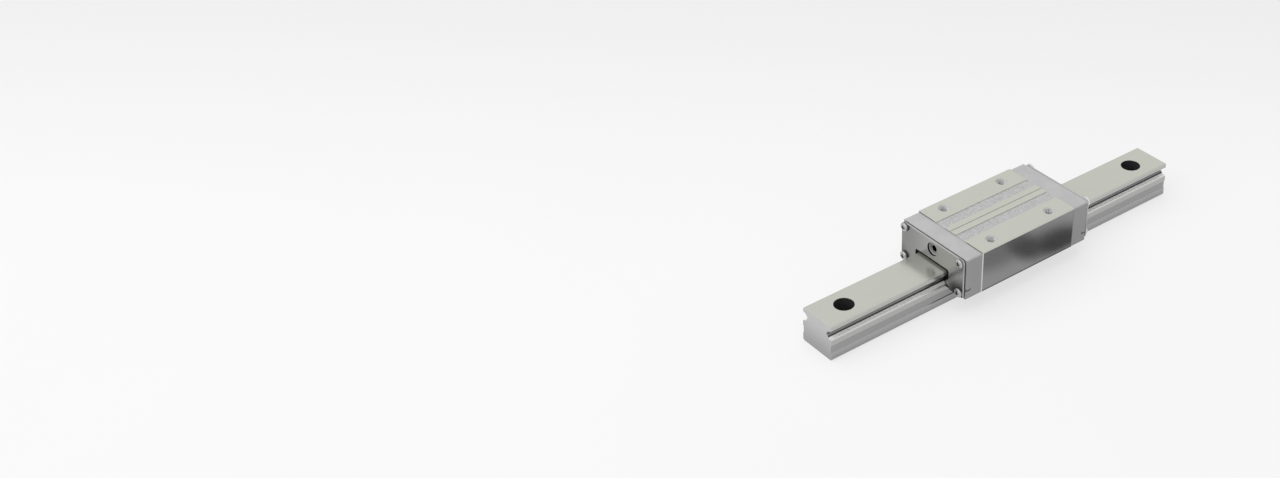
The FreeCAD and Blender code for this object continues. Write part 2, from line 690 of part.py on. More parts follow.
def nodes():
    """Every named piece of the guide."""
    pieces = {"rail": rail(), "carriage_block": carriage_block(), "seal_screws": seal_screws()}
    pieces.update(at_ends("end_cap", end_cap()))
    pieces.update(at_ends("end_seal", end_seal()))
    pieces.update(at_ends("seal_plate", seal_plate()))
    pieces.update(at_ends("grease_plug", grease_plug()))
    for name, side in SIDES.items():
        pieces["ball_circuit_" + name] = ball_circuit(side)
        pieces["retaining_band_" + name] = retaining_band(side)
        pieces["under_seal_" + name] = under_seal(side)
        pieces.update(at_ends("return_guide_" + name, return_guide(side)))
    return pieces


os.makedirs("parts", exist_ok=True)
for node, shape in nodes().items():
    shape.exportStep("parts/" + node + ".step")
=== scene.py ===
"""Looks of a linear guide: a square-block carriage on a profiled rail, in metres."""

import logging
import math
from dataclasses import dataclass, replace
from enum import Enum

import bmesh
import bpy
from mathutils import Matrix, Vector


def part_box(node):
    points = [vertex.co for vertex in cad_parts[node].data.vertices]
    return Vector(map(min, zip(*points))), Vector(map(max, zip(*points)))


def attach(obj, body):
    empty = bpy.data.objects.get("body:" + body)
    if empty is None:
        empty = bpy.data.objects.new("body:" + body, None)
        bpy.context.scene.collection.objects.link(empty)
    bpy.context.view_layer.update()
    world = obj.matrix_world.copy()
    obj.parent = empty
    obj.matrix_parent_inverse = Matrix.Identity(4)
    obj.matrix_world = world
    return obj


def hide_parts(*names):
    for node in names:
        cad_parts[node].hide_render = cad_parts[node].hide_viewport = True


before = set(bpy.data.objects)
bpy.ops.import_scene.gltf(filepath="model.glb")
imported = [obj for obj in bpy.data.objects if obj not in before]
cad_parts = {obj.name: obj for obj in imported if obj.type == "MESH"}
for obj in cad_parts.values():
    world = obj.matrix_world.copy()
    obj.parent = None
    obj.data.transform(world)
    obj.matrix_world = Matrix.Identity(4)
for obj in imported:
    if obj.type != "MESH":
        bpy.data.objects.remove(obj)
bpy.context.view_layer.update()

log = logging.getLogger("linear_guide")

MM = 0.001
CARRIAGE_BODY = "carriage"
ALONG, ACROSS, UP = 0, 1, 2

Colour = tuple[float, float, float]
Point = tuple[float, float, float]
Pair = tuple[float, float]
Material = bpy.types.Material
Node = bpy.types.Node
Socket = bpy.types.NodeSocket


def grey(level: float, warmth: float = 0.0) -> Colour:
    """Linear colour of a near-neutral screen grey.

    Args:
        level: Screen value from 0 to 255.
        warmth: How far blue lies below red, in screen values.

    Returns:
        Linear red, green and blue.
    """
    shares = [max(level + warmth * part, 0.0) / 255 for part in (0.4, 0.5, -0.6)]
    red, green, blue = (s / 12.92 if s <= 0.04045 else ((s + 0.055) / 1.055) ** 2.4 for s in shares)
    return red, green, blue


class Grain(Enum):
    """Texture of a finish, as noise scales along x, y and z."""

    ALONG_RAIL = (90.0, 5200.0, 5200.0)
    ACROSS_RAIL = (5200.0, 120.0, 5200.0)
    GRIT = (1400.0,) * 3
    CLOUDS = (45.0,) * 3
    PITS = (1300.0,) * 3
    SPECKS = (2400.0,) * 3
    TURNED = (2600.0,) * 3
    SPARKED = (7000.0,) * 3
    FLOW = (130.0,) * 3
    RUBBER = (5200.0,) * 3
    CLOTH = (300.0,) * 3
    PAPER = (9.0,) * 3


class Graph:
    """Short way to write the nodes of a material or of the world.

    Args:
        name: Its name.
        world: Whether it is the world.
    """

    def __init__(self, name: str, world: bool = False) -> None:
        """Starts with one shader and one output."""
        self.owner = (bpy.data.worlds if world else bpy.data.materials).new(name)
        self.owner.use_nodes = True
        self.tree = self.owner.node_tree
        self.tree.nodes.clear()
        self.shader = self.node("Background" if world else "BsdfPrincipled")
        self.output = self.node("OutputWorld" if world else "OutputMaterial")
        self.feed(self.output.inputs[0], self.shader.outputs[0])
        self.spot = self.node("TexCoord").outputs

    def node(self, kind: str, *values: object, **inputs: object) -> Node:
        """Adds a node.

        Args:
            kind: Blender's name of the node type after ShaderNode.
            values: Values or sockets of the first inputs, in order.
            inputs: Values or sockets by input name.

        Returns:
            The new node.
        """
        made = self.tree.nodes.new("ShaderNode" + kind)
        for key, value in [*enumerate(values), *inputs.items()]:
            self.feed(made.inputs[key], value)
        return made

    def feed(self, socket: Socket, value: object) -> None:
        """Links a socket to an input, or sets its value, a colour without alpha."""
        if isinstance(value, Socket):
            self.tree.links.new(value, socket)
        else:
            socket.default_value = (*value, 1.0) if socket.type == "RGBA" else value

    def tune(self, **inputs: object) -> None:
        """Feeds inputs of the shader, named with underscores for spaces."""
        for key, value in inputs.items():
            self.feed(self.shader.inputs[key.replace("_", " ")], value)

    def math(self, operation: str, first: object, second: object = 0.0, clamp: bool = False) -> Socket:
        """Adds a sum of two numbers.

        Args:
            operation: Blender's name of the sum.
            first: Number or socket.
            second: Number or socket.
            clamp: Whether the result is held between 0 and 1.

        Returns:
            The result's socket.
        """
        made = self.node("Math", first, second)
        made.operation = operation
        made.use_clamp = clamp
        return made.outputs[0]

    def both(self, first: object, second: object) -> Socket:
        """Product of two numbers, or the share where two shares meet."""
        return self.math("MULTIPLY", first, second)

    def either(self, first: object, second: object) -> Socket:
        """Larger one of two shares."""
        return self.math("MAXIMUM", first, second)

    def length(self, first: Socket, second: Socket) -> Socket:
        """Distance over two legs at a right angle."""
        return self.math("SQRT", self.math("ADD", self.both(first, first), self.both(second, second)))

    def step(self, value: object, start: float, end: float) -> Socket:
        """Number that rises smoothly from 0 at start to 1 at end."""
        made = self.node("MapRange", value, start, end)
        made.interpolation_type = "SMOOTHSTEP"
        return made.outputs[0]

    def ramp(self, value: object, ends: Pair) -> Socket:
        """Step between two ends in millimetres, falling where the first one is the larger."""
        return self.step(value, ends[0] * MM, ends[1] * MM)

    def above(self, value: object, level: float) -> Socket:
        """Share that turns from 0 to 1 over a hair's breadth at a level in millimetres."""
        return self.ramp(value, (level - 0.08, level + 0.08))

    def spread(self, value: object, low: float, high: float) -> Socket:
        """Number from 0 to 1 spread between low and high."""
        return self.node("MapRange", value, 0.0, 1.0, low, high).outputs[0]

    def band(self, value: object, ends: Pair, blur: float) -> Socket:
        """Share that is 1 between two ends in millimetres, with a blur at each, and 0 outside."""
        low, high = ends
        rise = self.ramp(value, (low - blur, low + blur))
        return self.both(rise, self.ramp(value, (high + blur, high - blur)))

    def noise(self, grain: Grain, detail: float = 3.0) -> Socket:
        """Cloudy noise from 0 to 1, stretched as the grain says."""
        place = self.node("Mapping", Vector=self.spot["Object"], Scale=grain.value)
        made = self.node("TexNoise", Vector=place.outputs[0], Scale=1.0, Detail=detail)
        return made.outputs["Fac"]

    def worn(self, lines: Grain, share: float) -> Socket:
        """Noise of a ground face: a share of drawn lines, and grit for the rest."""
        drawn = self.both(self.noise(lines, 4.0), share)
        return self.math("ADD", drawn, self.both(self.noise(Grain.GRIT, 4.0), 1.0 - share))

    def mix(self, share: object, first: object, second: object, way: str = "MIX") -> Socket:
        """Blend of two colours.

        Args:
            share: Share of the second colour, from 0 to 1.
            first: Linear colour or socket.
            second: Linear colour or socket.
            way: Blender's name of the way to blend them.

        Returns:
            The blended colour's socket.
        """
        made = self.node("Mix", share)
        made.data_type = "RGBA"
        made.blend_type = way
        self.feed(made.inputs[6], first)
        self.feed(made.inputs[7], second)
        return made.outputs[2]

    def between(self, share: object, levels: Pair, warmth: float = 0.0) -> Socket:
        """Blend of two screen greys."""
        return self.mix(share, grey(levels[0], warmth), grey(levels[1], warmth))

    def paint(self, base: Socket, texture: Socket, depth: float) -> None:
        """Gives the shader its colour, shaded to some depth by a noise."""
        shade = self.between(self.step(texture, 0.3, 0.7), (200.0, 255.0))
        self.tune(Base_Color=self.mix(depth, base, shade, "MULTIPLY"))

    def axis(self, index: int) -> Socket:
        """One coordinate of the place on the object, in metres."""
        return self.node("SeparateXYZ", self.spot["Object"]).outputs[index]

    def beside(self, index: int, middle: float = 0.0) -> Socket:
        """Distance in metres along one direction from a middle in millimetres."""
        return self.math("ABSOLUTE", self.math("SUBTRACT", self.axis(index), middle * MM))

    def facing(self, index: int) -> Socket:
        """One component of the surface's direction on the object."""
        return self.node("SeparateXYZ", self.spot["Normal"]).outputs[index]

    def turned(self, index: int) -> Socket:
        """How squarely the surface faces one direction or its opposite."""
        return self.math("ABSOLUTE", self.facing(index))

    def seen(self) -> Socket:
        """Share that is 1 for what the camera, a mirror or glass sees."""
        rays = self.node("LightPath").outputs
        bounced = self.either(rays["Is Glossy Ray"], rays["Is Transmission Ray"])
        return self.either(rays["Is Camera Ray"], bounced)

    def relief(self, height: Socket, depth: float, edge: float) -> None:
        """Gives the shader a bump and softened edges.

        Args:
            height: Height from 0 to 1.
            depth: Depth of the bump.
            edge: Radius of the softened edges.
        """
        soft = self.node("Bevel", Radius=edge)
        soft.samples = 6
        bump = self.node("Bump", Height=height, Distance=depth, Normal=soft.outputs[0])
        self.tune(Normal=bump.outputs[0])

    def layers(self, share: object, under: Node, over: Node) -> None:
        """Sends two shaders to the output, with some share of the upper one."""
        choice = self.node("MixShader", share, under.outputs[0], over.outputs[0])
        self.feed(self.output.inputs[0], choice.outputs[0])


@dataclass(frozen=True)
class RailSteel:
    """Ground rail steel, with darker drawn waists, painted shadow in the races, a painted highlight on the
    rounded shoulders and scaled bolt holes.

    The fields from top to hole are screen greys. Lengths are in millimetres, and a pair of them
    says where a tone starts to change and where it has changed.

    Attributes:
        name: Name of the material.
        top: Ground top.
        end: Cut ends, at the foot and at the head.
        head: Sides of the head.
        race: Painted shadow in the races, at its lower and its upper edge.
        curve: Rounded shoulders, with a painted highlight.
        land: Ground lands below them.
        waist: Drawn waists.
        foot: Feet, at the base and at their top.
        hole: Walls of the bolt holes.
        warmth: How far blue lies below red on the ground faces.
        roughness: Middle roughness.
        half_width: Half width of the rail.
        shade_slope: Rise of the shadow's edge towards the middle.
        shade: Lowest and highest point of the shadow.
        race_low: Lower edge of the shadow.
        head_low: Height where the head's sides start.
        top_low: Height above which faces that look up are ground.
        end_high: Height where the cut ends are palest.
        land_low: Height where the waist meets the land.
        land_high: Height where the land meets the rounded shoulder.
        foot_high: Height where the foot meets the waist.
        hole_pitch: Distance between the bolt holes.
        hole_wall: Radius of the scaled walls.
        hole_mouth: Height where they start.
    """

    name: str = "rail_ground_steel"
    top: float = 195.0
    end: Pair = (166.0, 199.0)
    head: float = 194.0
    race: Pair = (54.0, 178.0)
    curve: float = 255.0
    land: float = 188.0
    waist: float = 165.0
    foot: Pair = (158.0, 178.0)
    hole: float = 104.0
    warmth: float = 8.0
    roughness: float = 0.17
    half_width: float = 10.0
    shade_slope: float = 0.889
    shade: Pair = (14.0, 15.7)
    race_low: float = 13.55
    head_low: Pair = (15.5, 16.3)
    top_low: Pair = (17.0, 17.4)
    end_high: float = 16.0
    land_low: float = 8.0
    land_high: float = 11.0
    foot_high: float = 4.05
    hole_pitch: float = 60.0
    hole_wall: Pair = (4.84, 4.80)
    hole_mouth: Pair = (17.96, 17.85)

    def material(self) -> Material:
        """Builds the node material."""
        graph = Graph(self.name)
        worn = graph.worn(Grain.ALONG_RAIL, 0.4)
        height = graph.axis(UP)
        sunk = graph.math("SUBTRACT", self.half_width * MM, graph.beside(ACROSS))
        slope = graph.math("ADD", height, graph.both(sunk, self.shade_slope))
        # Painted shadow in the races under the head, above an edge that slants down towards the middle.
        dark = graph.above(slope, self.race_low)
        shadow = graph.between(graph.ramp(slope, self.shade), self.race)
        base = graph.mix(dark, self.side(graph, height), shadow)
        base = graph.mix(graph.ramp(height, self.head_low), base, grey(self.head, 3.0))
        topmost = graph.both(graph.step(graph.facing(UP), 0.3, 0.9), graph.ramp(height, self.top_low))
        base = graph.mix(topmost, base, grey(self.top, self.warmth))
        ends = graph.between(graph.ramp(height, (0.0, self.end_high)), self.end)
        base = graph.mix(graph.step(graph.turned(ALONG), 0.6, 0.9), base, ends)
        graph.paint(graph.mix(self.inside_holes(graph), base, grey(self.hole)), worn, 0.1)
        ledge = graph.math("SUBTRACT", graph.above(height, self.land_high + 0.2), dark, clamp=True)
        patchy = graph.both(worn, graph.noise(Grain.CLOUDS))
        graph.tune(Roughness=graph.spread(patchy, self.roughness, self.roughness + 0.12),
                   Metallic=graph.spread(ledge, 0.7, 0.0))
        graph.relief(worn, 0.001 * MM, 0.1 * MM)
        return graph.owner

    def side(self, graph: Graph, height: Socket) -> Socket:
        """Colour of the rail's side below the raceway, with a painted highlight on the rounded shoulders."""
        base = graph.between(graph.ramp(height, (0.0, self.foot_high)), self.foot)
        base = graph.mix(graph.above(height, self.foot_high), base, grey(self.waist))
        base = graph.mix(graph.above(height, self.land_low), base, grey(self.land, 1.0))
        # Painted highlight on the rounded shoulders, above the land.
        rounding = (self.land_high - 0.5, self.land_high + 0.5)
        return graph.mix(graph.ramp(height, rounding), base, grey(self.curve, 2.0))

    def inside_holes(self, graph: Graph) -> Socket:
        """Share that is 1 on the walls of the bolt holes."""
        pitch = self.hole_pitch * MM
        shifted = graph.math("ADD", graph.axis(ALONG), 2 * pitch)
        along = graph.math("SUBTRACT", graph.math("MODULO", shifted, pitch), pitch / 2)
        near = graph.ramp(graph.length(along, graph.axis(ACROSS)), self.hole_wall)
        return graph.both(near, graph.ramp(graph.axis(UP), self.hole_mouth))


@dataclass(frozen=True)
class BlockSteel:
    """Steel of the carriage block: ground lands, rough bands between them, and sides painted darker as shade,
    with a painted shadow along their lower edge.

    The fields from land to bevel are screen greys, and lengths are in millimetres.

    Attributes:
        name: Name of the material.
        land: Ground lands and middle strips.
        rough_band: Unground bands.
        side: Sides, painted darker than the lands as their shade.
        bevel: Bevels.
        warmth: How far blue lies below red on the ground faces.
        roughness: Middle roughness of ground faces.
        polish: How much smoother the sides are.
        band: Inner and outer edge of the bands, from the middle.
        band_height: Both heights of the bands.
        bevel_at: Distance from the middle where the bevels start.
        groove_at: Half width of the groove, where every face is ground.
        brink: Height below which the sides get a painted shadow.
    """

    name: str = "block_ground_steel"
    land: float = 198.0
    rough_band: float = 203.0
    side: float = 150.0
    bevel: float = 214.0
    warmth: float = 9.0
    roughness: float = 0.34
    polish: float = 0.16
    band: Pair = (3.7, 9.6)
    band_height: Pair = (29.4, 29.8)
    bevel_at: Pair = (21.0, 21.3)
    groove_at: Pair = (12.0, 11.0)
    brink: Pair = (9.5, 9.25)

    def material(self) -> Material:
        """Builds the node material."""
        graph = Graph(self.name)
        worn = graph.worn(Grain.ALONG_RAIL, 0.5)
        pits = graph.noise(Grain.PITS, 5.0)
        height, across = graph.axis(UP), graph.beside(ACROSS)
        tilt = graph.turned(ACROSS)
        slant = graph.both(graph.step(tilt, 0.3, 0.5), graph.step(tilt, 0.95, 0.75))
        slant = graph.both(slant, graph.ramp(across, self.bevel_at))
        sunk = graph.both(graph.band(across, self.band, 0.03), graph.band(height, self.band_height, 0.05))
        # Painted shadow along the lower edge of the sides, at half their grey.
        base = graph.between(graph.ramp(height, self.brink), (self.side, self.side * 0.5))
        base = graph.mix(slant, base, grey(self.bevel))
        # Faces that look up, and all faces near the groove, take the lands' grey; the others keep the sides'
        # painted shade.
        upward = graph.step(graph.facing(UP), 0.3, 0.9)
        topside = graph.either(upward, graph.ramp(across, self.groove_at))
        base = graph.mix(topside, base, grey(self.land, self.warmth))
        graph.paint(graph.mix(sunk, base, self.cast(graph, pits)), worn, 0.14)
        rough = graph.spread(worn, self.roughness - 0.08, self.roughness + 0.12)
        rough = graph.math("ADD", rough, graph.both(sunk, 0.3))
        smooth = graph.both(graph.step(tilt, 0.9, 0.98), self.polish)
        graph.tune(Roughness=graph.math("SUBTRACT", rough, smooth), Metallic=0.75)
        height = graph.math("ADD", graph.both(worn, 0.08), graph.both(pits, sunk))
        graph.relief(height, 0.05 * MM, 0.08 * MM)
        return graph.owner

    def cast(self, graph: Graph, pits: Socket) -> Socket:
        """Colour of the unground bands: mottled, with dark specks."""
        base = graph.between(graph.step(pits, 0.36, 0.64), (self.rough_band - 13, self.rough_band + 6))
        specks = graph.step(graph.noise(Grain.SPECKS, 2.0), 0.29, 0.25)
        return graph.mix(specks, base, grey(self.rough_band - 70))


@dataclass(frozen=True)
class PlateSteel:
    """Satin pressed steel sheet, which mirrors the rail and what stands round it, with more of these
    reflections painted on its faces.

    The face, wing, edge and opening tones are screen greys, and lengths are in millimetres.

    Attributes:
        name: Name of the material.
        face: Flat faces, on the right and on the left, with a painted reflection that darkens them towards
            the left.
        face_from: Where the right tone ends and where the left one is reached.
        wing: Faces beside the rail, with a painted reflection of its shaded side.
        wing_middle: Place across the rail halfway between the wings.
        wing_from: Distances from there where the painted reflection starts and is full.
        wing_below: Heights where it starts and is full.
        edge: Sheared outer edges.
        opening: Edges round the rail and the port, with painted shade on these walls.
        opening_side: Half width of the openings.
        opening_top: Height below which they lie.
        roughness: Middle roughness.
    """

    name: str = "plate_satin_steel"
    face: Pair = (187.0, 142.0)
    face_from: Pair = (-12.0, 19.0)
    wing: float = 66.0
    wing_middle: float = 4.0
    wing_from: Pair = (11.0, 20.0)
    wing_below: Pair = (20.5, 11.0)
    edge: float = 190.0
    opening: float = 26.0
    opening_side: Pair = (16.5, 16.0)
    opening_top: Pair = (28.6, 28.4)
    roughness: float = 0.22

    def material(self) -> Material:
        """Builds the node material."""
        graph = Graph(self.name)
        worn = graph.worn(Grain.ACROSS_RAIL, 0.5)
        height = graph.axis(UP)
        # Painted reflection: the flat faces darken from the right towards the left.
        face = graph.between(graph.ramp(graph.axis(ACROSS), self.face_from), self.face, 1.0)
        # Painted reflection of the rail's shaded side on the faces beside it.
        aside = graph.ramp(graph.beside(ACROSS, self.wing_middle), self.wing_from)
        face = graph.mix(graph.both(aside, graph.ramp(height, self.wing_below)), face, grey(self.wing))
        # Painted shade on the walls round the rail and the port.
        inner = graph.both(graph.ramp(graph.beside(ACROSS), self.opening_side),
                           graph.ramp(height, self.opening_top))
        edge = graph.between(inner, (self.edge, self.opening))
        flat = graph.step(graph.turned(ALONG), 0.5, 0.9)
        graph.paint(graph.mix(flat, edge, face), worn, 0.16)
        graph.tune(Roughness=graph.spread(worn, self.roughness - 0.1, self.roughness + 0.12), Metallic=0.8)
        graph.relief(worn, 0.004 * MM, 0.18 * MM)
        return graph.owner


@dataclass(frozen=True)
class TurnedSteel:
    """Steel of a turned small part, with painted shade in its hollows and a painted grey low on its outside,
    with lengths in millimetres.

    Attributes:
        name: Name of the material.
        level: Screen grey.
        hollow: Screen grey of the painted shade in the hollows.
        wall: Screen grey of the low part of the outside, a painted shade where it is darker than the level
            and painted light where it is paler.
        reach: Radius within which the painted shade lies.
        depth: Height below which the painted shade lies.
        rim: Height below which the outside takes the painted grey of its low part.
        roughness: Middle roughness.
        metallic: Share of metal shading.
    """

    name: str
    level: float = 214.0
    hollow: float = 20.0
    wall: float = 100.0
    reach: float = 0.0
    depth: float = 0.0
    rim: float = -1000.0
    roughness: float = 0.28
    metallic: float = 0.8

    def material(self) -> Material:
        """Builds the node material."""
        graph = Graph(self.name)
        grit = graph.noise(Grain.TURNED)
        height = graph.axis(UP)
        base = graph.between(grit, (self.level - 6, self.level + 6))
        # Painted grey on the low part of the outside: shade under a screw's rim, light on a thread.
        base = graph.mix(graph.ramp(height, (self.rim + 0.08, self.rim - 0.08)), base, grey(self.wall))
        # Painted shade in the hollows, within the reach and below the depth.
        out = graph.length(graph.axis(ALONG), graph.axis(ACROSS))
        deep = graph.both(graph.ramp(out, (self.reach + 0.04, self.reach - 0.04)),
                          graph.ramp(height, (self.depth, self.depth - 0.25)))
        graph.paint(graph.mix(deep, base, grey(self.hollow)), grit, 0.12)
        graph.tune(Roughness=graph.spread(grit, self.roughness - 0.08, self.roughness + 0.1),
                   Metallic=self.metallic)
        graph.relief(grit, 0.003 * MM, 0.06 * MM)
        return graph.owner


@dataclass(frozen=True)
class MouldedResin:
    """Moulded resin with a spark-eroded texture, a dark joint line, and painted shade in its hook slots and
    along its lower edge, with lengths in millimetres.

    Attributes:
        name: Name of the material.
        level: Screen grey of faces that look up or along the rail.
        flank: Screen grey of the sides, painted apart from the other faces for the light that falls on them.
        seam: Screen grey of the painted shade in the hook slots, on their lips and along the lower edge; the
            dark joint line takes a paler grey from it.
        warmth: How far blue lies below red.
        roughness: Middle roughness.
        side: Half width of the outside.
        hook: Both heights of the hook slots in the sides.
        lip_along: Both ends of the slots' lips, from the middle.
        lip: Both heights of the lips.
        brink: Height below which the painted shade of the lower edge comes in.
        joint: Place of the joint with the block, from the middle.
    """

    name: str
    level: float = 180.0
    flank: float = 191.0
    seam: float = 40.0
    warmth: float = 0.0
    roughness: float = 0.46
    side: float = 21.6
    hook: Pair = (12.6, 13.9)
    lip_along: Pair = (34.9, 37.6)
    lip: Pair = (12.5, 13.2)
    brink: Pair = (8.85, 8.6)
    joint: float = 28.5

    def material(self) -> Material:
        """Builds the node material."""
        graph = Graph(self.name)
        grain = graph.noise(Grain.SPARKED, 2.0)
        flow = graph.step(graph.noise(Grain.FLOW), 0.3, 0.7)
        base = graph.between(flow, (self.level - 4, self.level + 3), self.warmth)
        # Sides take their own grey, painted for the light on them.
        sideward = graph.step(graph.turned(ACROSS), 0.5, 0.9)
        base = graph.mix(sideward, base, grey(self.flank, self.warmth))
        crack = graph.ramp(graph.beside(ALONG), (self.joint + 0.3, self.joint + 0.1))
        base = graph.mix(graph.both(crack, 0.4), base, grey(self.seam + 50))
        graph.paint(graph.mix(self.seams(graph), base, grey(self.seam)), grain, 0.1)
        graph.tune(Roughness=graph.spread(grain, self.roughness - 0.06, self.roughness + 0.1),
                   Specular_IOR_Level=0.45)
        graph.relief(grain, 0.01 * MM, 0.15 * MM)
        return graph.owner

    def seams(self, graph: Graph) -> Socket:
        """Share of the painted shade in the hook slots, on their lips and along the lower edge."""
        height, across = graph.axis(UP), graph.beside(ACROSS)
        # Painted shade in the hook slots, on the side round their lips and along the lower edge.
        slot = graph.both(graph.band(across, (self.side - 0.4, self.side - 0.06), 0.03),
                          graph.band(height, self.hook, 0.05))
        lips = graph.both(graph.band(graph.beside(ALONG), self.lip_along, 0.05),
                          graph.ramp(across, (self.side - 0.3, self.side - 0.2)))
        lips = graph.both(lips, graph.band(height, self.lip, 0.06))
        slot = graph.either(slot, graph.both(lips, 0.7))
        return graph.either(slot, graph.both(graph.ramp(height, self.brink), 0.6))


@dataclass(frozen=True)
class SealRubber:
    """Black rubber, with painted light on the edge round its outside, paler towards the far end, with lengths
    in millimetres.

    Attributes:
        name: Name of the material.
        level: Screen grey.
        edge: Screen greys of the painted light on the outer edge, at the middle and at the far end.
        edge_top: Height above which the painted outer edge lies.
        edge_side: Distance from the middle beyond which it lies.
        far_end: Place along the rail of the far end.
    """

    name: str = "seal_rubber"
    level: float = 12.0
    edge: Pair = (78.0, 187.2)
    edge_top: Pair = (28.2, 28.4)
    edge_side: Pair = (20.4, 20.6)
    far_end: float = 38.0

    def material(self) -> Material:
        """Builds the node material."""
        graph = Graph(self.name)
        grain = graph.noise(Grain.RUBBER, 4.0)
        bloom = graph.step(graph.noise(Grain.CLOTH), 0.45, 0.8)
        base = graph.between(bloom, (self.level - 4, self.level + 6))
        # Painted light on the outer edge, paler towards the far end.
        outer = graph.either(graph.ramp(graph.axis(UP), self.edge_top),
                             graph.ramp(graph.beside(ACROSS), self.edge_side))
        painted_light = graph.between(graph.ramp(graph.axis(ALONG), (0.0, self.far_end)), self.edge)
        graph.tune(Base_Color=graph.mix(outer, base, painted_light), Roughness=graph.spread(grain, 0.5, 0.72),
                   Specular_IOR_Level=0.12)
        graph.relief(grain, 0.01 * MM, 0.12 * MM)
        return graph.owner


class Way(Enum):
    """Direction in which a piece of the carriage lies."""

    @property
    def label(self) -> str:
        """Name of the direction in the names of pieces."""
        return self.name.lower()


class End(Way):
    """End of the carriage, as its direction along the rail."""

    FRONT = -1
    REAR = 1


class Side(Way):
    """Side of the carriage, as its direction across the rail."""

    LEFT = 1
    RIGHT = -1


def added(name: str, data: bpy.types.ID) -> bpy.types.Object:
    """New object in the scene."""
    made = bpy.data.objects.new(name, data)
    bpy.context.scene.collection.objects.link(made)
    return made


def coat(node: str, material: Material) -> None:
    """Gives a carried-over node its finish.

    Args:
        node: Name of the node.
        material: Its material.
    """
    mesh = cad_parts[node].data
    mesh.materials.clear()
    mesh.materials.append(material)
    log.info("dressed %s with %s", node, material.name)


class Skin:
    """Mesh woven from rings of points."""

    def __init__(self) -> None:
        """Starts an empty mesh."""
        self.points: list[Point] = []
        self.faces: list[tuple[int, ...]] = []

    def weave(self, rows: list[list[Point]], cap: bool = True) -> None:
        """Joins rings of equal length with quads.

        Args:
            rows: Rings of points.
            cap: Whether the last ring is closed with one face.
        """
        first, width = len(self.points), len(rows[0])
        for row in rows:
            self.points += row
        for level in range(len(rows) - 1):
            base = first + level * width
            for step in range(width):
                after = (step + 1) % width
                self.faces.append((base + step, base + after, base + width + after, base + width + step))
        if cap:
            last = first + (len(rows) - 1) * width
            self.faces.append(tuple(last + step for step in range(width)))

    def piece(self, name: str, place: Matrix, material: Material) -> bpy.types.Object:
        """Makes the mesh object, smooth but for its sharp edges.

        Args:
            name: Name of the piece.
            place: Where it stands.
            material: Its material.

        Returns:
            The new object, riding on the carriage.
        """
        mesh = bpy.data.meshes.new(name)
        mesh.from_pydata(self.points, [], self.faces)
        shape = bmesh.new()
        shape.from_mesh(mesh)
        bmesh.ops.remove_doubles(shape, verts=shape.verts, dist=0.001 * MM)
        bmesh.ops.recalc_face_normals(shape, faces=shape.faces)
        shape.to_mesh(mesh)
        shape.free()
        for face in mesh.polygons:
            face.use_smooth = True
        mesh.set_sharp_from_angle(angle=math.radians(32))
        mesh.materials.append(material)
        made = added(name, mesh)
        made.matrix_world = place
        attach(made, CARRIAGE_BODY)
        log.info("built %s with %d faces", name, len(mesh.polygons))
        return made


def ring(radii: list[float], height: float, turns: list[float]) -> list[Point]:
    """Ring of points round the upright axis.

    Args:
        radii: Distance of each point from the axis.
        height: Height of the ring.
        turns: Angle of each point in radians.

    Returns:
        The points of the ring.
    """
    return [(r * math.cos(turn), r * math.sin(turn), height) for r, turn in zip(radii, turns)]


def outward(end: End, x: float, y: float, z: float) -> Matrix:
    """Place of a piece whose own upright axis points out of one end of the carriage."""
    turn = Matrix.Rotation(math.radians(90 * end.value), 4, "Y")
    return Matrix.Translation((x, y, z)) @ turn


@dataclass(frozen=True)
class Thread:
    """Screw thread as a helical surface.

    Attributes:
        crest: Radius of the crests.
        root: Radius of the roots.
        pitch: Distance between turns.
        mouth: Depth of a cone at the upper end, or 0.
        steps: Points in one turn.
        rows: Rings of points in one pitch.
        crest_flat: Half width of the crest's flat, in pitches.
        flank: Width of each flank, in pitches.
        mouth_play: Play between the cone and the thread.
    """

    crest: float
    root: float
    pitch: float
    mouth: float = 0.0
    steps: int = 48
    rows: int = 10
    crest_flat: float = 0.06
    flank: float = 0.32
    mouth_play: float = 0.02 * MM

    def weave_into(self, skin: Skin, low: float, high: float) -> None:
        """Adds the thread to a mesh.

        Args:
            skin: The mesh.
            low: Height of the lower end.
            high: Height of the upper end.
        """
        turns = [2 * math.pi * step / self.steps for step in range(self.steps)]
        rise = high - self.mouth - low
        count = int(rise / self.pitch * self.rows)
        heights = [low + rise * step / count for step in range(count + 1)]
        rows = [ring([self.radius(turn, height) for turn in turns], height, turns) for height in heights]
        if self.mouth > 0:
            wide = max(self.crest, self.root) + self.mouth_play
            rows.append(ring([wide] * self.steps, high - self.mouth, turns))
            rows.append(ring([wide + self.mouth] * self.steps, high, turns))
        skin.weave(rows, cap=False)

    def radius(self, turn: float, height: float) -> float:
        """Radius of the thread in one direction and height."""
        share = (height / self.pitch - turn / (2 * math.pi)) % 1.0
        rise = min(max((abs(share - 0.5) - self.crest_flat) / self.flank, 0.0), 1.0)
        return self.crest + (self.root - self.crest) * rise


